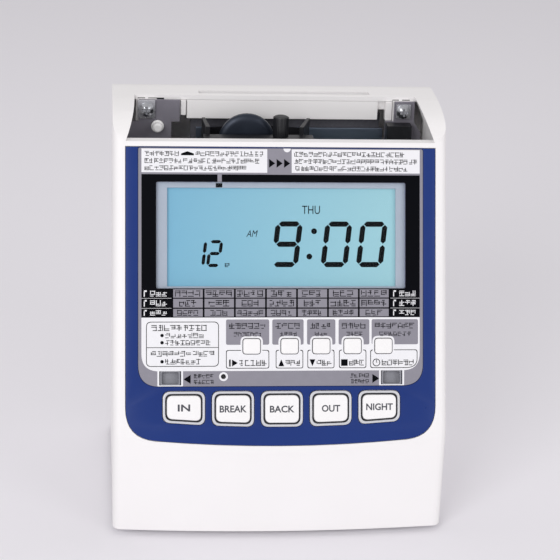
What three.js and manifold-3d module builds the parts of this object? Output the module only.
// Desktop punch time clock with its front cover taken off.
// Millimetres. X to the right, Y to the back, Z up. Origin under the middle of the feet.
import * as THREE from "three";
import { mergeVertices } from "three/addons/utils/BufferGeometryUtils.js";
import Module from "manifold-3d";

// ---------------------------------------------------------------- driving dimensions
// Casing
const WIDTH = 174;
const DEPTH = 134;
const HEIGHT = 211;
const CREASE_Z = 47.5; // where the upright lower front meets the sloped panel
const BEAM_SETBACK = 60.8; // how far the panel's top edge lies behind the front
const BEAM_DROP = 13; // how far the panel's top edge lies under the roof
const FRONT_BOW = 4.3; // how far the lower front bulges forward in plan
const EDGE_R = 5; // upright corners
const WALL = 2.5;
const PANEL_WALL = 4.5; // sloped wall, with the recess that takes the panel
const PANEL_MARGIN = 6.5; // from the side of the casing to the panel
const ROOF_CURVE = 43.2; // run of the curve from the beam up to the flat roof
const BACK_R = 17; // roof to back wall
const SPLIT_Y = 97; // seam of the two casing halves, behind the front
const FOOT_H = 3;
const FOOT_R = 7;
const FOOT_INSET = 17;
const GAP = 0.3; // between pieces that touch

// Sloped panel: u across, v up the slope from the crease, w into the casing
const PANEL_T = 1.5;
const PANEL_SEAT = 1.8; // depth of the recess in the casing
const PANEL_BOTTOM_V = 5.1;
const PANEL_BOTTOM_R = 728; // the bottom edge is a shallow arc
const PANEL_CORNER_R = 15.5;
const BEAM_H = 2.8; // casing strip left above the panel
const LABEL_HALF = 74;
const LABEL_BOTTOM_V = 36;
const LABEL_CORNER_R = 11;
const LABEL_T = 0.4;
const GLASS_HALF = 64.5;
const GLASS_V = [86.9, 141.2];
const SCREEN_U = [-59.1, 60];
const SCREEN_V = [87.6, 138.6];

// Keys
const MODE_NAMES = ["in", "break", "back", "out", "night"];
const MODE_PITCH = 25.4;
const MODE_CENTRE = 0.2; // u of the middle button
const MODE_CAP = 17.5;
const MODE_TOP_V = 31.3;
const MODE_BOTTOM_V = 17;
const MODE_CORNER_R = 3;
const MODE_PROUD = 1.6;
const MODE_SLOT = 0.9; // dark slot between a cap and its rim
const RIM_T = 1.2;
const RIM_PROUD = 0.8;
const SET_NAMES = ["month", "day", "hour", "minute", "set"];
const SET_U = [-15.5, 4.2, 20.7, 37.1, 53.3];
const SET_V = 56.6;
const SET_KEY = [8.8, 7.7];
const SET_PROUD = 1.0;
const KEY_FLANGE = 1.2;
const MAT_W = 7.3;
const BOARD_W = 9;
const BOARD_T = 1.6;
const SOCKET_U = 57.6;
const SOCKET_V = 40.3;
const SOCKET_SIZE = [10.4, 7.8];
const SOCKET_DEPTH = 3.2;
const RESET_U = -30.1;
const RESET_V = 41;
const RESET_R = 0.9;

// Card path
const CARD_SETBACK = 107; // middle of the card slot, behind the front
const CARD_X = 5; // the slot lies right of the middle
const CARD_GAP = 5;
const CHUTE_HALF = 46;
const CHUTE_BOTTOM_Z = 60;
const SHEET_T = 1.2;
const PLATEN_X = [-45, 58];
const THROAT_X = [-47.4, 55.4];

// Printer
const HEAD_X = -16.2;
const HEAD_R = 15;
const HEAD_DROP = 20.4; // axis under the roof
const HEAD_FACE_SETBACK = 82; // behind the front
const RAIL_R = 3;
const RAIL_DROP = 42;
const RAIL_SETBACKS = [73, 89];
const RUNNING = 0.06; // radial clearance of shafts that turn or slide
const BELT_DROP = 58;
const PULLEY_R = 4.5;
const PULLEY_X = 66;
const BELT_T = 1.2;
const KNOB_X = 0.9;
const KNOB_SETBACK = 76.5;
const KNOB_R = 4.15;
const CASSETTE_X = [-39.6, 18.4];
const CHASSIS_HALF = 79;
const CHASSIS_DROP = 72;
const SCREW_R = 3.75;

// Card feed
const FEED_DROP = 86;
const ROLLER_R = 8.2;
const ROLLER_X = 24;
const ROLLER_W = 12;
const PINCH_R = 5;
const FEED_SHAFT_R = 2.5;
const GEAR_MODULE = 1;
const GEAR_TEETH = 24;
const PINION_TEETH = 10;
const GEAR_X = [66, 71];
const BACKLASH = 0.2;

// ---------------------------------------------------------------- worked out from them
const HALF = WIDTH / 2;
const FRONT_Y = -DEPTH / 2;
const BACK_Y = DEPTH / 2;
const BEAM_Y = FRONT_Y + BEAM_SETBACK;
const BEAM_Z = HEIGHT - BEAM_DROP;
const TILT = Math.atan2(BEAM_SETBACK, BEAM_Z - CREASE_Z);
const BEAM_V = Math.hypot(BEAM_SETBACK, BEAM_Z - CREASE_Z);
const PANEL_HALF = HALF - PANEL_MARGIN;
const PANEL_TOP_V = BEAM_V - BEAM_H;
const SEAM_Y = FRONT_Y + SPLIT_Y;
const CARD_Y = FRONT_Y + CARD_SETBACK;
const CHUTE_X = [CARD_X - CHUTE_HALF, CARD_X + CHUTE_HALF];
const CHUTE_FRONT = CARD_Y - CARD_GAP / 2;
const CHUTE_REAR = CARD_Y + CARD_GAP / 2;
const FLANGE_W = PANEL_WALL + 0.4; // key flanges stand behind the casing wall

// ---------------------------------------------------------------- solids
const wasm = await Module();
wasm.setup();

// A closed three.js geometry as a solid, with its faces pointing out.
function solid(geometry) {
  const bare = geometry.clone();
  bare.deleteAttribute("normal");
  bare.deleteAttribute("uv");
  const merged = mergeVertices(bare, 1e-4);
  const corners = merged.index.array;
  const faces = [];
  for (let i = 0; i < corners.length; i += 3) {
    const [a, b, c] = [corners[i], corners[i + 1], corners[i + 2]];
    if (a !== b && b !== c && c !== a) faces.push(a, b, c);
  }
  const build = (list) =>
    new wasm.Manifold(
      new wasm.Mesh({
        numProp: 3,
        vertProperties: merged.attributes.position.array,
        triVerts: new Uint32Array(list),
      }),
    );
  const made = build(faces);
  return made.volume() < 0 ? build(faces.reverse()) : made;
}

const join = (first, ...rest) => rest.reduce((sum, piece) => sum.add(piece), first);
const cut = (first, ...rest) => rest.reduce((left, piece) => left.subtract(piece), first);

// A solid as a three.js geometry.
function geometryOf(made) {
  const { vertProperties, triVerts } = made.getMesh();
  const geometry = new THREE.BufferGeometry();
  geometry.setAttribute("position", new THREE.BufferAttribute(vertProperties, 3));
  geometry.setIndex(new THREE.BufferAttribute(triVerts, 1));
  const flat = geometry.toNonIndexed();
  flat.computeVertexNormals();
  return flat;
}

function boxGeometry([x0, x1], [y0, y1], [z0, z1]) {
  const geometry = new THREE.BoxGeometry(x1 - x0, y1 - y0, z1 - z0);
  return geometry.translate((x0 + x1) / 2, (y0 + y1) / 2, (z0 + z1) / 2);
}

const box = (x, y, z) => solid(boxGeometry(x, y, z));

// Where an outline's own x, its own y and its thickness point.
const AXES = {
  top: [new THREE.Vector3(1, 0, 0), new THREE.Vector3(0, 1, 0), new THREE.Vector3(0, 0, 1)],
  front: [new THREE.Vector3(1, 0, 0), new THREE.Vector3(0, 0, 1), new THREE.Vector3(0, -1, 0)],
  side: [new THREE.Vector3(0, 1, 0), new THREE.Vector3(0, 0, 1), new THREE.Vector3(1, 0, 0)],
};

function extrudeGeometry(outline, facing, [from, to], curveSegments = 4) {
  const settings = { depth: to - from, bevelEnabled: false, curveSegments };
  const geometry = new THREE.ExtrudeGeometry(outline, settings);
  geometry.translate(0, 0, facing === "front" ? -to : from);
  return geometry.applyMatrix4(new THREE.Matrix4().makeBasis(...AXES[facing]));
}

const extrude = (...given) => solid(extrudeGeometry(...given));

// A closed outline through the corners, each rounded by up to its radius.
function rounded(corners, radius) {
  const outline = new THREE.Shape();
  corners.forEach((here, i) => {
    const before = corners[(i + corners.length - 1) % corners.length];
    const after = corners[(i + 1) % corners.length];
    const r = Array.isArray(radius) ? radius[i] : radius;
    const towards = ([x, y]) => {
      const length = Math.hypot(x - here[0], y - here[1]);
      const run = Math.min(r, length / 2) / length;
      return [here[0] + (x - here[0]) * run, here[1] + (y - here[1]) * run];
    };
    const start = towards(before);
    if (i === 0) outline.moveTo(...start);
    else outline.lineTo(...start);
    if (r > 0) outline.quadraticCurveTo(...here, ...towards(after));
  });
  outline.closePath();
  return outline;
}

const rectangle = ([x0, x1], [y0, y1], radius = 0) =>
  rounded([[x0, y0], [x1, y0], [x1, y1], [x0, y1]], radius);

const TURN = {
  x: (geometry) => geometry.rotateZ(-Math.PI / 2),
  y: (geometry) => geometry,
  z: (geometry) => geometry.rotateX(Math.PI / 2),
};

// A round solid along x, y or z from a profile of [radius, distance] pairs.
function turned(axis, [x, y, z], profile, segments = 20) {
  const points = profile.map(([r, along]) => new THREE.Vector2(r, along));
  const geometry = TURN[axis](new THREE.LatheGeometry(points, segments));
  return solid(geometry.translate(x, y, z));
}

const rod = (axis, at, radius, [from, to], segments = 20) =>
  turned(axis, at, [[0, from], [radius, from], [radius, to], [0, to]], segments);

// ---------------------------------------------------------------- scene graph
const clock = new THREE.Group();
const panel = new THREE.Group();
panel.position.set(0, FRONT_Y, CREASE_Z);
panel.rotation.x = -TILT;
clock.add(panel);
panel.updateMatrix();

const finish = (color, roughness, metalness = 0) => ({ color, roughness, metalness });
const WHITE_ABS = finish(0xe9e9ee, 0.45);
const BLUE_PLASTIC = finish(0x1f3f8f, 0.35);
const GREY_FILM = finish(0xa5a5ab, 0.5);
const CLEAR = finish(0xbfd8e0, 0.1);
const SCREEN = finish(0x9fd0e0, 0.25);
const DARK_PLASTIC = finish(0x15161a, 0.4);
const GREY_PLASTIC = finish(0x8d8f96, 0.45);
const BOARD = finish(0x2d6b3c, 0.6);
const RUBBER = finish(0x26262a, 0.85);
const STEEL = finish(0x8f9198, 0.35, 0.9);
const DARK_STEEL = finish(0x5f5d66, 0.45, 0.8);
const PALE_PLASTIC = finish(0xf2f2f0, 0.4);

function part(name, made, look, parent = clock) {
  const mesh = new THREE.Mesh(geometryOf(made), new THREE.MeshStandardMaterial(look));
  mesh.name = name;
  parent.add(mesh);
}

// A solid drawn in the sloped panel's frame, moved into the clock's.
const onSlope = (geometry) => solid(geometry.applyMatrix4(panel.matrix));

// ---------------------------------------------------------------- casing
const SLOPE_REACH = 400; // longer than any casing

// Outline from above: bowed front and rounded upright corners.
function planOutline(inset) {
  const half = HALF - inset;
  const r = Math.max(EDGE_R - inset, 1);
  const front = FRONT_Y + inset;
  const bow = (x) => front + FRONT_BOW * (x / half) ** 2;
  const turn = half - r;
  const cornerY = bow(turn) + ((2 * FRONT_BOW * turn) / half ** 2) * r;
  const back = BACK_Y - inset;
  const outline = new THREE.Shape();
  outline.moveTo(-turn, bow(turn));
  outline.quadraticCurveTo(0, 2 * front - bow(turn), turn, bow(turn));
  outline.quadraticCurveTo(half, cornerY, half, cornerY + r);
  outline.lineTo(half, back - r);
  outline.quadraticCurveTo(half, back, half - r, back);
  outline.lineTo(r - half, back);
  outline.quadraticCurveTo(-half, back, -half, back - r);
  outline.lineTo(-half, cornerY + r);
  outline.quadraticCurveTo(-half, cornerY, -turn, bow(turn));
  return outline;
}

// Outline from the side, with the upright walls set in by one value and the slope by another.
function sideOutline(inset, slopeInset, bottom) {
  const front = FRONT_Y + inset;
  const top = HEIGHT - inset;
  const back = BACK_Y - inset;
  const creaseZ = CREASE_Z + (inset * Math.cos(TILT) - slopeInset) / Math.sin(TILT);
  const beam = new THREE.Vector3(0, slopeInset, BEAM_V - inset).applyMatrix4(panel.matrix);
  const outline = new THREE.Shape();
  outline.moveTo(front, bottom);
  outline.lineTo(front, creaseZ);
  outline.lineTo(beam.y, beam.z);
  outline.quadraticCurveTo(BEAM_Y + 5.8 + inset, top, BEAM_Y + ROOF_CURVE, top);
  outline.lineTo(BACK_Y - BACK_R, top);
  outline.quadraticCurveTo(back, top, back, HEIGHT - BACK_R);
  outline.lineTo(back, bottom);
  outline.closePath();
  return outline;
}

// Outline across the slope: rounds the edges between the slope and the sides.
const slopeOutline = (inset, slopeInset) =>
  rectangle(
    [inset - HALF, HALF - inset],
    [slopeInset, SLOPE_REACH],
    [Math.max(EDGE_R - inset, 1), Math.max(EDGE_R - inset, 1), 0, 0],
  );

function casingForm(inset, slopeInset, bottom) {
  const plan = extrude(planOutline(inset), "top", [bottom, HEIGHT], 10);
  const side = extrude(sideOutline(inset, slopeInset, bottom), "side", [-HALF, HALF], 7);
  const across = extrudeGeometry(slopeOutline(inset, slopeInset), "top", [-SLOPE_REACH, SLOPE_REACH], 4);
  return plan.intersect(side).intersect(onSlope(across));
}

const OPENING_TAPER = 6; // the bay's sides lean in towards the roof
const BAY_FLOOR_Z = HEIGHT - 49;
const HOOD_Y = CARD_Y - 6; // front of the hood over the card slot
function bayOutline(grow, from) {
  const low = PANEL_HALF + grow;
  const high = PANEL_HALF - OPENING_TAPER + grow;
  const bottom = from < BEAM_Z ? [[-low, from], [low, from]] : [];
  return rounded([...bottom, [low, BEAM_Z], [high, HEIGHT + 2], [-high, HEIGHT + 2], [-low, BEAM_Z]], 0);
}

const outer = casingForm(0, 0, FOOT_H);
const inner = casingForm(WALL, PANEL_WALL, -FOOT_H);
const bayReach = [FRONT_Y, HOOD_Y];
const bayWalls = outer.intersect(extrude(bayOutline(WALL, BAY_FLOOR_Z), "front", bayReach));
const shell = cut(
  join(outer.subtract(inner), bayWalls),
  extrude(bayOutline(0, BEAM_Z), "front", bayReach),
  inner.intersect(extrude(bayOutline(0, BAY_FLOOR_Z - 1), "front", bayReach)),
);

// Outline of the blue panel, with its bottom edge a shallow arc.
const panelArc = (u) => PANEL_BOTTOM_V + u ** 2 / (2 * PANEL_BOTTOM_R);
function panelOutline(grow) {
  const half = PANEL_HALF + grow;
  const corner = half - PANEL_CORNER_R;
  const outline = new THREE.Shape();
  outline.moveTo(-corner, panelArc(corner) - grow);
  outline.quadraticCurveTo(0, 2 * PANEL_BOTTOM_V - panelArc(corner) - grow, corner, panelArc(corner) - grow);
  outline.quadraticCurveTo(half, panelArc(half) - grow, half, panelArc(half) + PANEL_CORNER_R);
  outline.lineTo(half, PANEL_TOP_V + grow);
  outline.lineTo(-half, PANEL_TOP_V + grow);
  outline.lineTo(-half, panelArc(half) + PANEL_CORNER_R);
  outline.quadraticCurveTo(-half, panelArc(half) - grow, -corner, panelArc(corner) - grow);
  return outline;
}

// A mode button's outline: its bottom edge runs parallel to the panel's.
const modeCentre = (i) => MODE_CENTRE + (i - 2) * MODE_PITCH;
function modeOutline(i, grow, growV = grow) {
  const [left, right] = [modeCentre(i) - MODE_CAP / 2 - grow, modeCentre(i) + MODE_CAP / 2 + grow];
  const low = (u) => MODE_BOTTOM_V + u ** 2 / (2 * PANEL_BOTTOM_R) - growV;
  const top = MODE_TOP_V + growV;
  const corners = [[left, low(left)], [right, low(right)], [right, top], [left, top]];
  return rounded(corners, MODE_CORNER_R + grow / 2);
}

const keyOutline = (u, grow) =>
  rectangle(
    [u - SET_KEY[0] / 2 - grow, u + SET_KEY[0] / 2 + grow],
    [SET_V - SET_KEY[1] / 2 - grow, SET_V + SET_KEY[1] / 2 + grow],
    1.5 + grow,
  );

const socketOutline = (side, grow) =>
  rectangle(
    [side * SOCKET_U - SOCKET_SIZE[0] / 2 - grow, side * SOCKET_U + SOCKET_SIZE[0] / 2 + grow],
    [SOCKET_V - SOCKET_SIZE[1] / 2 - grow, SOCKET_V + SOCKET_SIZE[1] / 2 + grow],
    0.8,
  );

const onFace = (outline, from, to, segments = 3) => extrudeGeometry(outline, "front", [from, to], segments);
const face = (outline, from, to, segments) => solid(onFace(outline, from, to, segments));
const THROUGH = [-5, 8]; // deeper than the sloped wall both ways
const WEB_V = [19.5, 29.5]; // strip that joins the five button rims
const WEB_U = [modeCentre(0) - 8, modeCentre(4) + 8];
const WEB_W = [2.1, 2.6];
const FRAME_HALF = GLASS_HALF + 1.2;
const FRAME_V = [GLASS_V[0] - 1.4, GLASS_V[1] + 0.9];
const frameOutline = (grow) =>
  rectangle([-FRAME_HALF - grow, FRAME_HALF + grow], [FRAME_V[0] - grow, FRAME_V[1] + grow]);
const webOutline = (grow) =>
  rectangle([WEB_U[0] - grow, WEB_U[1] + grow], [WEB_V[0] - grow, WEB_V[1] + grow]);

// Holes for the setting keys, cover latches and reset pin, through the panel, label and casing.
const smallHoles = (grow) => [
  ...SET_U.map((u) => onFace(keyOutline(u, grow), ...THROUGH)),
  ...[-1, 1].map((side) => onFace(socketOutline(side, grow), ...THROUGH)),
  onFace(new THREE.Shape().absarc(RESET_U, RESET_V, RESET_R + grow, 0, 2 * Math.PI), ...THROUGH),
];

const seamFront = box([-HALF - 1, HALF + 1], [FRONT_Y - 1, SEAM_Y - GAP / 2], [0, HEIGHT + 1]);
const seamRear = box([-HALF - 1, HALF + 1], [SEAM_Y + GAP / 2, BACK_Y + 1], [0, HEIGHT + 1]);

part(
  "front_case",
  cut(
    shell.intersect(seamFront),
    onSlope(onFace(panelOutline(GAP), -5, PANEL_SEAT, 8)),
    onSlope(onFace(frameOutline(GAP), ...THROUGH)),
    onSlope(onFace(webOutline(GAP), 0, WEB_W[1] + GAP)),
    ...MODE_NAMES.map((_, i) => onSlope(onFace(modeOutline(i, MODE_SLOT), ...THROUGH))),
    ...MODE_NAMES.map((_, i) => onSlope(onFace(modeOutline(i, MODE_SLOT + RIM_T + GAP), 0, WEB_W[1] + GAP))),
    ...smallHoles(0.4).map((hole) => onSlope(hole)),
  ),
  WHITE_ABS,
);

// Rear half: roof with the card slot, back wall with vents and the power inlet.
const PLATE_SCREW_X = [-69, 68.8]; // the two screws that hold the chassis plate
const PLATE_SCREW_Z = HEIGHT - 7;
const POST_HALF = 5.5;
const INLET_X = -55;
const INLET_Z = 24;
const INLET_HALF = [12, 9];
const VENT = [3, 30];
const VENT_PITCH = 8;
const VENT_COUNT = 12;
const VENT_Z = HEIGHT - 70;
const CASE_SCREW_Z = HEIGHT - 34;
const CASE_SCREW_X = HALF - 14;
const CASE_SCREW_R = 3.2;
const post = (x) =>
  box(
    [x - POST_HALF, x + POST_HALF],
    [CARD_Y - 7.5, CARD_Y + 12],
    [HEIGHT - 14, HEIGHT - WALL + 0.5],
  );
const screwBoss = (side) =>
  rod("y", [side * CASE_SCREW_X, 0, CASE_SCREW_Z], CASE_SCREW_R + 3, [BACK_Y - 14, BACK_Y - WALL + 0.5]);
const ventOutline = (x) => rectangle([x - VENT[0] / 2, x + VENT[0] / 2], [VENT_Z - VENT[1], VENT_Z], 1.4);
const vents = Array.from({ length: VENT_COUNT }, (_, i) => (i - (VENT_COUNT - 1) / 2) * VENT_PITCH);
part(
  "rear_case",
  cut(
    join(shell.intersect(seamRear), ...PLATE_SCREW_X.map(post), screwBoss(-1), screwBoss(1)),
    box(CHUTE_X, [CHUTE_FRONT, CHUTE_REAR], [HEIGHT - 20, HEIGHT + 1]),
    box(
      [INLET_X - INLET_HALF[0] - GAP, INLET_X + INLET_HALF[0] + GAP],
      [BACK_Y - 10, BACK_Y + 1],
      [INLET_Z - INLET_HALF[1] - GAP, INLET_Z + INLET_HALF[1] + GAP],
    ),
    ...vents.map((x) =>
      extrude(ventOutline(x), "front", [BACK_Y - 6, BACK_Y + 1], 2),
    ),
    ...PLATE_SCREW_X.map((x) => rod("y", [x, 0, PLATE_SCREW_Z], 1.9, [CARD_Y - 9, CARD_Y + 6])),
    ...[-1, 1].map((side) =>
      turned("y", [side * CASE_SCREW_X, 0, CASE_SCREW_Z], [
        [0, BACK_Y - 15],
        [1.7, BACK_Y - 15],
        [1.7, BACK_Y - 5],
        [CASE_SCREW_R + GAP, BACK_Y - 5],
        [CASE_SCREW_R + GAP, BACK_Y + 1],
        [0, BACK_Y + 1],
      ]),
    ),
  ),
  WHITE_ABS,
);
// The two bars of a cross recess for a screw along y.
const crossRecess = (x, y, z, reach, half) => [
  box([x - reach, x + reach], y, [z - half, z + half]),
  box([x - half, x + half], y, [z - reach, z + reach]),
];
const SIDES = [[-1, "left"], [1, "right"]];
for (const [side, name] of SIDES)
  part(
    `case_screw_${name}`,
    cut(
      turned("y", [side * CASE_SCREW_X, 0, CASE_SCREW_Z], [
        [0, BACK_Y - 13],
        [1.4, BACK_Y - 13],
        [1.4, BACK_Y - 4.6],
        [CASE_SCREW_R, BACK_Y - 4.6],
        [CASE_SCREW_R - 0.4, BACK_Y - 2.6],
        [0, BACK_Y - 2.2],
      ]),
      ...crossRecess(side * CASE_SCREW_X, [BACK_Y - 3.6, BACK_Y], CASE_SCREW_Z, 2, 0.45),
    ),
    STEEL,
  );

// Bottom: a plate with vent slots, on four rubber feet.
const BASE_T = 2.5;
part(
  "base_plate",
  cut(
    extrude(planOutline(WALL + GAP), "top", [FOOT_H, FOOT_H + BASE_T], 8),
    ...vents.map((x) => box([x - VENT[0] / 2, x + VENT[0] / 2], [-15, 15], [0, FOOT_H + BASE_T + 1])),
  ),
  WHITE_ABS,
);
const CORNERS = [[-1, -1, "front_left"], [1, -1, "front_right"], [-1, 1, "rear_left"], [1, 1, "rear_right"]];
for (const [sx, sy, name] of CORNERS)
  part(
    `foot_${name}`,
    turned("z", [sx * (HALF - FOOT_INSET), sy * (BACK_Y - FOOT_INSET), 0], [
      [0, 0],
      [FOOT_R - 0.8, 0],
      [FOOT_R, 0.9],
      [FOOT_R, FOOT_H - GAP],
      [0, FOOT_H - GAP],
    ]),
    RUBBER,
  );

// ---------------------------------------------------------------- sloped panel
const glassOutline = (grow) =>
  rectangle([-GLASS_HALF - grow, GLASS_HALF + grow], [GLASS_V[0] - grow, GLASS_V[1] + grow], 1);
const labelOutline = (grow) =>
  rectangle([-LABEL_HALF - grow, LABEL_HALF + grow], [LABEL_BOTTOM_V - grow, PANEL_TOP_V - 0.5], [
    LABEL_CORNER_R,
    LABEL_CORNER_R,
    1,
    1,
  ]);

part(
  "operation_panel",
  cut(
    face(panelOutline(0), 0, PANEL_T, 8),
    face(labelOutline(GAP), -1, 0.8, 5),
    face(glassOutline(GAP), ...THROUGH),
    ...MODE_NAMES.map((_, i) => face(modeOutline(i, MODE_SLOT + RIM_T + GAP), ...THROUGH)),
    ...smallHoles(0.4).map((hole) => solid(hole)),
  ),
  BLUE_PLASTIC,
  panel,
);
part(
  "instruction_label",
  cut(
    face(labelOutline(0), 0.1, 0.1 + LABEL_T, 5),
    face(glassOutline(GAP), ...THROUGH),
    ...smallHoles(0.4).map((hole) => solid(hole)),
  ),
  GREY_FILM,
  panel,
);
part("lcd_window", face(glassOutline(0), 0.5, PANEL_T), CLEAR, panel);
const FRAME_W = [2.1, 7.9];
const FRAME_LIP = 1.5;
const MODULE_BACK = 6.9;
const moduleOutline = (shrink) =>
  rectangle(
    [SCREEN_U[0] - 2 + shrink, SCREEN_U[1] + 2 - shrink],
    [SCREEN_V[0] - 1 + shrink, SCREEN_V[1] + 2 - shrink],
  );
part(
  "lcd_frame",
  cut(
    face(frameOutline(0), ...FRAME_W),
    face(rectangle(SCREEN_U, SCREEN_V), ...THROUGH),
    face(moduleOutline(0), FRAME_W[0] + FRAME_LIP, FRAME_W[1] + 1),
  ),
  GREY_PLASTIC,
  panel,
);
part("lcd_module", face(moduleOutline(GAP), FRAME_W[0] + FRAME_LIP + GAP, MODULE_BACK), SCREEN, panel);
part(
  "button_bezel",
  cut(
    join(
      face(webOutline(0), ...WEB_W),
      ...MODE_NAMES.map((_, i) => face(modeOutline(i, MODE_SLOT + RIM_T), -RIM_PROUD, WEB_W[1])),
    ),
    ...MODE_NAMES.map((_, i) => face(modeOutline(i, MODE_SLOT), ...THROUGH)),
  ),
  PALE_PLASTIC,
  panel,
);
MODE_NAMES.forEach((name, i) =>
  part(
    `mode_button_${name}`,
    join(
      face(modeOutline(i, 0), -MODE_PROUD, FLANGE_W + 0.5),
      face(modeOutline(i, MODE_SLOT + KEY_FLANGE), FLANGE_W, FLANGE_W + 1),
    ),
    PALE_PLASTIC,
    panel,
  ),
);
SET_NAMES.forEach((name, i) =>
  part(
    `setting_key_${name}`,
    join(
      face(keyOutline(SET_U[i], 0), -SET_PROUD, FLANGE_W + 0.4),
      face(keyOutline(SET_U[i], KEY_FLANGE), FLANGE_W, FLANGE_W + 0.8),
    ),
    PALE_PLASTIC,
    panel,
  ),
);
for (const [side, name] of SIDES)
  part(
    `latch_socket_${name}`,
    cut(
      face(socketOutline(side, 0), 0.6, 0.6 + SOCKET_DEPTH + 1),
      face(socketOutline(side, -0.8), -1, 0.6 + SOCKET_DEPTH),
    ),
    GREY_PLASTIC,
    panel,
  );
part("reset_pin", rod("y", [RESET_U, 0, RESET_V], RESET_R, [1.2, 6.2], 12), DARK_PLASTIC, panel);
const MAT_V = [MODE_BOTTOM_V - 3, SET_V + 7];
const matOutline = rectangle([-LABEL_HALF + 8, LABEL_HALF - 8], MAT_V, 2);
part("key_mat", face(matOutline, MAT_W, MAT_W + 1.3), RUBBER, panel);
const boardOutline = rectangle([-LABEL_HALF + 4, LABEL_HALF - 4], [MAT_V[0] - 2, GLASS_V[1] + 3]);
part("display_board", face(boardOutline, BOARD_W, BOARD_W + BOARD_T), BOARD, panel);

// ---------------------------------------------------------------- card path
const THROAT_BOTTOM = HEIGHT - 13;
const THROAT_TOP = HEIGHT - WALL - GAP;
const THROAT_REAR = CHUTE_FRONT - GAP;
const LEFT_POST = [THROAT_X[0] - 3.4, THROAT_X[0] - 0.5];
const RIGHT_POST = [THROAT_X[1] + 4, THROAT_X[1] + 7.6];
const POST_Y = [HOOD_Y - 1.4, THROAT_REAR];
part(
  "card_throat",
  join(
    box(THROAT_X, [HOOD_Y, THROAT_REAR], [THROAT_BOTTOM, THROAT_TOP]),
    box([LEFT_POST[0], RIGHT_POST[1]], [THROAT_REAR - SHEET_T, THROAT_REAR], [THROAT_TOP - 5, THROAT_TOP]),
    box(LEFT_POST, POST_Y, [THROAT_BOTTOM + 2.2, THROAT_TOP]),
    box(RIGHT_POST, POST_Y, [THROAT_BOTTOM, THROAT_TOP]),
  ),
  WHITE_ABS,
);
const PLATEN_Z = [HEIGHT - 27, HEIGHT - 12];
const platenOutline = rectangle([CHUTE_REAR, CHUTE_REAR + 4.5], PLATEN_Z, [0, 1, 1, 0]);
part("platen", extrude(platenOutline, "side", PLATEN_X), RUBBER);

const FEED_Z = HEIGHT - FEED_DROP;
const FEED_Y = CHUTE_REAR - 0.3 + ROLLER_R;
const PINCH_Y = CHUTE_FRONT + 0.2 - PINCH_R - 0.4;
const GUIDE_TOP = HEIGHT - 18.5;
const TAB = 8; // height of the tabs that carry the rollers' shafts
const window = (side, y, radius) =>
  box(
    [CARD_X + side * ROLLER_X - ROLLER_W / 2 - 1, CARD_X + side * ROLLER_X + ROLLER_W / 2 + 1],
    y,
    [FEED_Z - radius - 1, FEED_Z + radius + 1],
  );
const FRONT_SHEET = [THROAT_REAR - SHEET_T, THROAT_REAR];
const PINCH_TAB = ROLLER_X + ROLLER_W / 2 + 4; // from the middle of the card path
const PINCH_SHAFT_X = [CARD_X - PINCH_TAB - 2, CARD_X + PINCH_TAB + 2];
part(
  "card_guide_front",
  cut(
    join(
      box([CHUTE_X[0] - SHEET_T, CHUTE_X[1] + 8], FRONT_SHEET, [CHUTE_BOTTOM_Z, GUIDE_TOP]),
      ...[-1, 1].map((side) =>
        box(
          [CARD_X + side * PINCH_TAB - SHEET_T / 2, CARD_X + side * PINCH_TAB + SHEET_T / 2],
          [PINCH_Y - 4, FRONT_SHEET[0] + 0.5],
          [FEED_Z - TAB / 2, FEED_Z + TAB / 2],
        ),
      ),
    ),
    window(-1, [PINCH_Y, CHUTE_FRONT + 1], PINCH_R),
    window(1, [PINCH_Y, CHUTE_FRONT + 1], PINCH_R),
    rod("x", [0, PINCH_Y, FEED_Z], 1.5 + RUNNING, PINCH_SHAFT_X),
  ),
  STEEL,
);
const TRAY_X = [CHUTE_X[0] - SHEET_T, CHUTE_X[1] + SHEET_T];
const TRAY_Z = [CHUTE_BOTTOM_Z - SHEET_T, PLATEN_Z[0] - GAP];
const TRAY_REAR = CHUTE_REAR + SHEET_T;
part(
  "card_guide_rear",
  cut(
    join(
      box(TRAY_X, [CHUTE_REAR, TRAY_REAR], TRAY_Z),
      box(TRAY_X, [THROAT_REAR + GAP, TRAY_REAR], [TRAY_Z[0], CHUTE_BOTTOM_Z]),
      ...[[TRAY_X[0], CHUTE_X[0]], [CHUTE_X[1], TRAY_X[1]]].flatMap((x) => [
        box(x, [THROAT_REAR + GAP, TRAY_REAR], TRAY_Z),
        box(x, [CHUTE_REAR, FEED_Y + 5], [FEED_Z - TAB, FEED_Z + TAB]),
      ]),
    ),
    window(-1, [CHUTE_REAR - 1, CHUTE_REAR + 3], ROLLER_R - 1),
    window(1, [CHUTE_REAR - 1, CHUTE_REAR + 3], ROLLER_R - 1),
    rod("x", [0, FEED_Y, FEED_Z], FEED_SHAFT_R + RUNNING, [TRAY_X[0] - 1, TRAY_X[1] + 1]),
  ),
  STEEL,
);

// Rollers on a shaft along x.
function rollerSet(y, shaftR, shaftX, rollerR) {
  const roll = (side) =>
    rod("x", [CARD_X + side * ROLLER_X, y, FEED_Z], rollerR, [-ROLLER_W / 2, ROLLER_W / 2]);
  return join(rod("x", [0, y, FEED_Z], shaftR, shaftX), roll(-1), roll(1));
}
part("feed_roller", rollerSet(FEED_Y, FEED_SHAFT_R, [TRAY_X[0] - 8, GEAR_X[1] + 3], ROLLER_R), RUBBER);
part("pinch_roller", rollerSet(PINCH_Y, 1.5, PINCH_SHAFT_X, PINCH_R), RUBBER);

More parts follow.
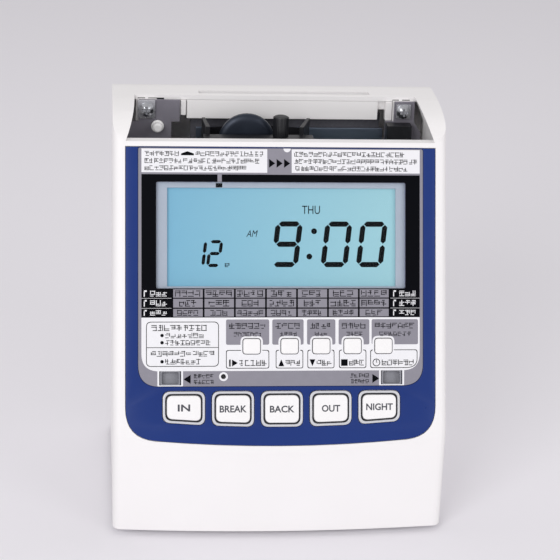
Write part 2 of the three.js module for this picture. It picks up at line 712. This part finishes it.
// A spur gear along x, turned by a phase given in teeth.
function gear(teeth, phase, [y, z], bore) {
  const pitch = (teeth * GEAR_MODULE) / 2;
  const [root, tip] = [pitch - 1.2 * GEAR_MODULE, pitch + 0.9 * GEAR_MODULE];
  const outline = new THREE.Shape();
  for (let i = 0; i < teeth; i += 1)
    [[root, -0.32], [tip, -0.11], [tip, 0.11], [root, 0.32]].forEach(([r, share], k) => {
      const angle = ((i + phase + share) / teeth) * 2 * Math.PI;
      const point = [y + r * Math.cos(angle), z + r * Math.sin(angle)];
      if (i === 0 && k === 0) outline.moveTo(...point);
      else outline.lineTo(...point);
    });
  outline.closePath();
  return cut(extrude(outline, "side", GEAR_X), rod("x", [0, y, z], bore, [GEAR_X[0] - 1, GEAR_X[1] + 1]));
}
const PINION_Z = FEED_Z - ((GEAR_TEETH + PINION_TEETH) * GEAR_MODULE) / 2 - BACKLASH;
const MOTOR_SHAFT_R = 1.5;
// The gear has a tooth pointing down at the pinion, which has a gap pointing up.
part("feed_gear", gear(GEAR_TEETH, GEAR_TEETH / 4, [FEED_Y, FEED_Z], FEED_SHAFT_R + RUNNING), PALE_PLASTIC);
const pinion = gear(PINION_TEETH, 0.5 + PINION_TEETH / 4, [FEED_Y, PINION_Z], MOTOR_SHAFT_R + RUNNING);
part("feed_pinion", pinion, STEEL);
part(
  "feed_motor",
  join(
    rod("x", [0, FEED_Y, PINION_Z], 11, [TRAY_X[1] + 2, GEAR_X[0] - 1.5]),
    rod("x", [0, FEED_Y, PINION_Z], MOTOR_SHAFT_R, [GEAR_X[0] - 2, GEAR_X[1] + 1]),
  ),
  STEEL,
);

// ---------------------------------------------------------------- printer
const PLATE_Y = [CARD_Y - 9, CARD_Y - 9 + SHEET_T];
const FLOOR_Z = HEIGHT - CHASSIS_DROP;
const RAIL_Z = HEIGHT - RAIL_DROP;
const RAIL_Y = RAIL_SETBACKS.map((setback) => FRONT_Y + setback);
const CHASSIS_FRONT = RAIL_Y[0] - 3;
const PIN_AT = [-63, HEIGHT - 16.3];
const railHole = (radius) => RAIL_Y.map((y) => rod("x", [0, y, RAIL_Z], radius, [-HALF, HALF]));
const PLATE_EDGE = THROAT_X[0] - 3.8; // beside the throat's left post
const NOTCH = [-55.6, -40.6]; // lets the ribbon and the head's nose pass the left plate
const NOTCH_Z = [HEIGHT - 26, HEIGHT - 14];
const PLATE_TOP = HEIGHT - 2;
const BRACKET_X = [64, 75];
const SENSOR_X = [59.6, 73];
const STEP_Z = HEIGHT - 13;
const leftPlate = rounded(
  [
    [-CHASSIS_HALF, FLOOR_Z],
    [NOTCH[1], FLOOR_Z],
    [NOTCH[1], NOTCH_Z[0]],
    [NOTCH[0], NOTCH_Z[0]],
    [NOTCH[0], NOTCH_Z[1]],
    [PLATE_EDGE, NOTCH_Z[1]],
    [PLATE_EDGE, PLATE_TOP],
    [6 - CHASSIS_HALF, PLATE_TOP],
    [6 - CHASSIS_HALF, BEAM_Z - 1],
    [-CHASSIS_HALF, BEAM_Z - 1],
  ],
  0,
);
const rightPlate = rounded(
  [
    [59.5, FLOOR_Z],
    [CHASSIS_HALF, FLOOR_Z],
    [CHASSIS_HALF, HEIGHT - 19],
    [BRACKET_X[1], STEP_Z],
    [BRACKET_X[1], PLATE_TOP],
    [BRACKET_X[0], PLATE_TOP],
    [BRACKET_X[0], STEP_Z],
    [59.5, STEP_Z],
  ],
  0,
);
part(
  "chassis",
  cut(
    join(
      extrude(leftPlate, "front", PLATE_Y),
      extrude(rightPlate, "front", PLATE_Y),
      box([-CHASSIS_HALF, CHASSIS_HALF], PLATE_Y, [FLOOR_Z, FLOOR_Z + 14]),
      box([-CHASSIS_HALF, CHASSIS_HALF], [CHASSIS_FRONT, PLATE_Y[1]], [FLOOR_Z, FLOOR_Z + SHEET_T]),
      box([-CHASSIS_HALF, SHEET_T - CHASSIS_HALF], [CHASSIS_FRONT, PLATE_Y[1]], [FLOOR_Z, RAIL_Z + 8]),
      box([CHASSIS_HALF - SHEET_T, CHASSIS_HALF], [CHASSIS_FRONT, PLATE_Y[1]], [FLOOR_Z, RAIL_Z + 8]),
    ),
    ...railHole(RAIL_R + GAP),
    ...PLATE_SCREW_X.map((x) => rod("y", [x, 0, PLATE_SCREW_Z], 2, [PLATE_Y[0] - 1, PLATE_Y[1] + 1])),
  ),
  DARK_STEEL,
);

// A cross-head screw on a square washer, in front of the chassis plate.
function plateScrew(x, washer) {
  const seat = PLATE_Y[0] - GAP;
  const back = seat - 1.2;
  const z = PLATE_SCREW_Z;
  const [halfX, halfZ] = [washer[0] / 2, washer[1] / 2];
  const panHead = [
    [0, back - 2.2],
    [2.2, back - 2],
    [SCREW_R, back - 0.6],
    [SCREW_R, back + 0.2],
    [0, back + 0.2],
  ];
  return cut(
    join(
      box([x - halfX, x + halfX], [back, seat], [z - halfZ, z + halfZ]),
      turned("y", [x, 0, z], panHead),
      rod("y", [x, 0, z], 1.5, [back, CARD_Y - 2]),
    ),
    ...crossRecess(x, [back - 3, back - 0.9], z, 2.1, 0.5),
  );
}
part("chassis_screw_left", plateScrew(PLATE_SCREW_X[0], [9.3, 9.9]), STEEL);
part("chassis_screw_right", plateScrew(PLATE_SCREW_X[1], [8, 8]), STEEL);
const pinProfile = [[0, -4.6], [1.8, -4.6], [2.6, -3.8], [2.6, -1], [3.4, -1], [3.4, 0], [0, 0]];
part("locating_pin", turned("y", [PIN_AT[0], PLATE_Y[0] - GAP, PIN_AT[1]], pinProfile), PALE_PLASTIC);
const SENSOR_Z = [HEIGHT - 28, HEIGHT - 13.4];
part("sensor_block", box(SENSOR_X, [PLATE_Y[0] - 7, PLATE_Y[0] - GAP], SENSOR_Z), DARK_PLASTIC);
const RAIL_X = [-CHASSIS_HALF - 0.7, CHASSIS_HALF + 0.7];
part("guide_shaft_front", rod("x", [0, RAIL_Y[0], RAIL_Z], RAIL_R, RAIL_X), STEEL);
part("guide_shaft_rear", rod("x", [0, RAIL_Y[1], RAIL_Z], RAIL_R, RAIL_X), STEEL);

const HEAD_Z = HEIGHT - HEAD_DROP;
const HEAD_Y = FRONT_Y + HEAD_FACE_SETBACK;
const DECK_Z = HEAD_Z - 10.3; // top of the deck that the cassette stands on
const CASSETTE_Z = DECK_Z + GAP;
const BAR_Y = [CHASSIS_FRONT - 1, HEAD_Y - 1.2];
const DECK_FRONT = BAR_Y[0] + 0.5;
const BLOCK_Z = [RAIL_Z - 5.5, HEAD_Z - HEAD_R - GAP];
const BELT_Z = HEIGHT - BELT_DROP;
const BELT_Y = [PLATE_Y[0] - 4.7, PLATE_Y[0] - 1.3];
const BELT_IN = PULLEY_R + GAP;
const BELT_OUT = BELT_IN + BELT_T;
part(
  "carriage",
  cut(
    join(
      box([HEAD_X - HEAD_R, HEAD_X + HEAD_R], [DECK_FRONT, RAIL_Y[1] + 5], BLOCK_Z),
      box([CASSETTE_X[0] + 2, CASSETTE_X[1] - 2], [DECK_FRONT, BAR_Y[1] - 0.3], [RAIL_Z + 2, DECK_Z]),
      box([HEAD_X - 5, HEAD_X + 5], [RAIL_Y[1] + 2, PLATE_Y[0] - 0.7], [BELT_Z + BELT_OUT + GAP, RAIL_Z - 2]),
    ),
    ...railHole(RAIL_R + RUNNING),
  ),
  DARK_PLASTIC,
);
const NOSE_Y = HOOD_Y - 1.1;
const headProfile = [
  [0, 0],
  [HEAD_R - 3, 0],
  [HEAD_R, 2.5],
  [HEAD_R, 5],
  [HEAD_R - 4, 5],
  [HEAD_R - 4, 12],
  [0, 12],
];
part(
  "print_head",
  join(
    turned("y", [HEAD_X, HEAD_Y, HEAD_Z], headProfile, 40),
    box([HEAD_X - 3.5, HEAD_X + 3.5], [HEAD_Y + 11, NOSE_Y], [HEAD_Z - 4, HEAD_Z + 4]),
  ),
  DARK_STEEL,
);
const ARM_TIP = PLATE_Y[0] - 1.5;
const ARM_T = 1.8;
const ARM_SPLAY = [1.3, 5]; // how far the left and right arms lean outwards
const ARM_Z = [CASSETTE_Z, HEAD_Z + 9.5];
const KNOB_Y = FRONT_Y + KNOB_SETBACK;
const BAR_TOP = HEAD_Z + 5.1;
const knobAt = [KNOB_X, KNOB_Y, 0];
// From above: a thin arm from the cassette's end back to the ribbon.
function armOutline(side) {
  const inward = 1 - 2 * side;
  const tip = CASSETTE_X[side];
  const root = tip + inward * ARM_SPLAY[side];
  const corners = [
    [root, BAR_Y[1] - 1],
    [root + inward * (ARM_T + 0.5), BAR_Y[1] - 1],
    [tip + inward * ARM_T, ARM_TIP],
    [tip, ARM_TIP],
  ];
  return rounded(side ? corners.reverse() : corners, 0);
}

part(
  "ribbon_cassette",
  cut(
    join(
      extrude(rectangle(CASSETTE_X, BAR_Y, [2, 2, 0, 0]), "top", [CASSETTE_Z, BAR_TOP]),
      extrude(armOutline(0), "top", ARM_Z),
      extrude(armOutline(1), "top", ARM_Z),
    ),
    rod("z", knobAt, 1.5 + RUNNING, [CASSETTE_Z + 2, BAR_TOP + 1], 16),
  ),
  DARK_PLASTIC,
);
const knobProfile = [
  [0, CASSETTE_Z + 2.5],
  [1.5, CASSETTE_Z + 2.5],
  [1.5, BAR_TOP + GAP],
  [KNOB_R, BAR_TOP + GAP],
  [KNOB_R, HEIGHT - 4.4],
  [KNOB_R - 0.7, HEIGHT - 3.7],
  [0, HEIGHT - 3.7],
];
part("ribbon_knob", turned("z", knobAt, knobProfile, 24), DARK_PLASTIC);
const RIBBON_T = 0.35;
const ribbonLine = [
  [CASSETTE_X[0] + 0.6, ARM_TIP + GAP],
  [HEAD_X - 7, NOSE_Y + GAP],
  [HEAD_X + 19, NOSE_Y + GAP],
  [CASSETTE_X[1] - 0.6, ARM_TIP + GAP],
];
part(
  "ink_ribbon",
  extrude(
    rounded([...ribbonLine, ...ribbonLine.map(([x, y]) => [x, y + RIBBON_T]).reverse()], 0),
    "top",
    [HEAD_Z - 5, HEAD_Z + 3.5],
  ),
  DARK_PLASTIC,
);

// Belt drive behind the rails.
const motorAt = [-PULLEY_X, 0, BELT_Z];
part(
  "carriage_motor",
  join(
    rod("y", motorAt, 9, [CHASSIS_FRONT + 3, BELT_Y[0] - 1.4]),
    rod("y", motorAt, 1, [BELT_Y[0] - 2, BELT_Y[1] + 0.6], 12),
  ),
  STEEL,
);
const flangeR = BELT_OUT + 0.5;
// Pulley profile from one end of its bore to the other, with a flange each side of the belt.
const pulleyProfile = (bore) => [
  [bore, BELT_Y[0] - 1],
  [flangeR, BELT_Y[0] - 1],
  [flangeR, BELT_Y[0] - GAP],
  [PULLEY_R, BELT_Y[0] - GAP],
  [PULLEY_R, BELT_Y[1] + GAP],
  [flangeR, BELT_Y[1] + GAP],
  [flangeR, BELT_Y[1] + 0.9],
  [bore, BELT_Y[1] + 0.9],
];
const driveProfile = pulleyProfile(1 + RUNNING);
part("drive_pulley", turned("y", motorAt, [...driveProfile, driveProfile[0]]), PALE_PLASTIC);
part("idler_pulley", turned("y", [PULLEY_X, 0, BELT_Z], pulleyProfile(0)), PALE_PLASTIC);
function beltLoop(r) {
  const outline = new THREE.Shape();
  outline.absarc(PULLEY_X, BELT_Z, r, -Math.PI / 2, Math.PI / 2);
  outline.absarc(-PULLEY_X, BELT_Z, r, Math.PI / 2, 1.5 * Math.PI);
  outline.closePath();
  return outline;
}
part(
  "carriage_belt",
  cut(
    extrude(beltLoop(BELT_OUT), "front", BELT_Y, 10),
    extrude(beltLoop(BELT_IN), "front", [BELT_Y[0] - 1, BELT_Y[1] + 1], 10),
  ),
  RUBBER,
);

// ---------------------------------------------------------------- electrics
const MAIN_Z = FOOT_H + BASE_T + 5;
const MAIN_X = [11 - HALF, HALF - 11];
part("main_board", box(MAIN_X, [FRONT_Y + 12, BACK_Y - 24], [MAIN_Z, MAIN_Z + BOARD_T]), BOARD);
const STAND_Z = MAIN_Z + BOARD_T + GAP;
part("power_unit", box([25, 75], [FRONT_Y + 30, CARD_Y - 18], [STAND_Z, CHUTE_BOTTOM_Z - 4]), STEEL);
const batteryOutline = rectangle([-70, -35], [STAND_Z, STAND_Z + 14], 5);
part("backup_battery", extrude(batteryOutline, "front", [-20, 0]), BLUE_PLASTIC);
const PIN_SPREAD = 4.3;
const recess = box([INLET_X - 9, INLET_X + 9], [BACK_Y - 13, BACK_Y + 1], [INLET_Z - 4.6, INLET_Z + 4.6]);
const inletPin = (side) =>
  rod("y", [INLET_X + side * PIN_SPREAD, 0, INLET_Z], 1.2, [BACK_Y - 14, BACK_Y - 4], 12);
const inletX = [INLET_X - INLET_HALF[0], INLET_X + INLET_HALF[0]];
const inletZ = [INLET_Z - INLET_HALF[1], INLET_Z + INLET_HALF[1]];
const inletBody = cut(box(inletX, [BACK_Y - 19, BACK_Y - GAP], inletZ), recess);
part("power_inlet", join(inletBody, inletPin(-1), inletPin(1)), DARK_PLASTIC);

export default clock;
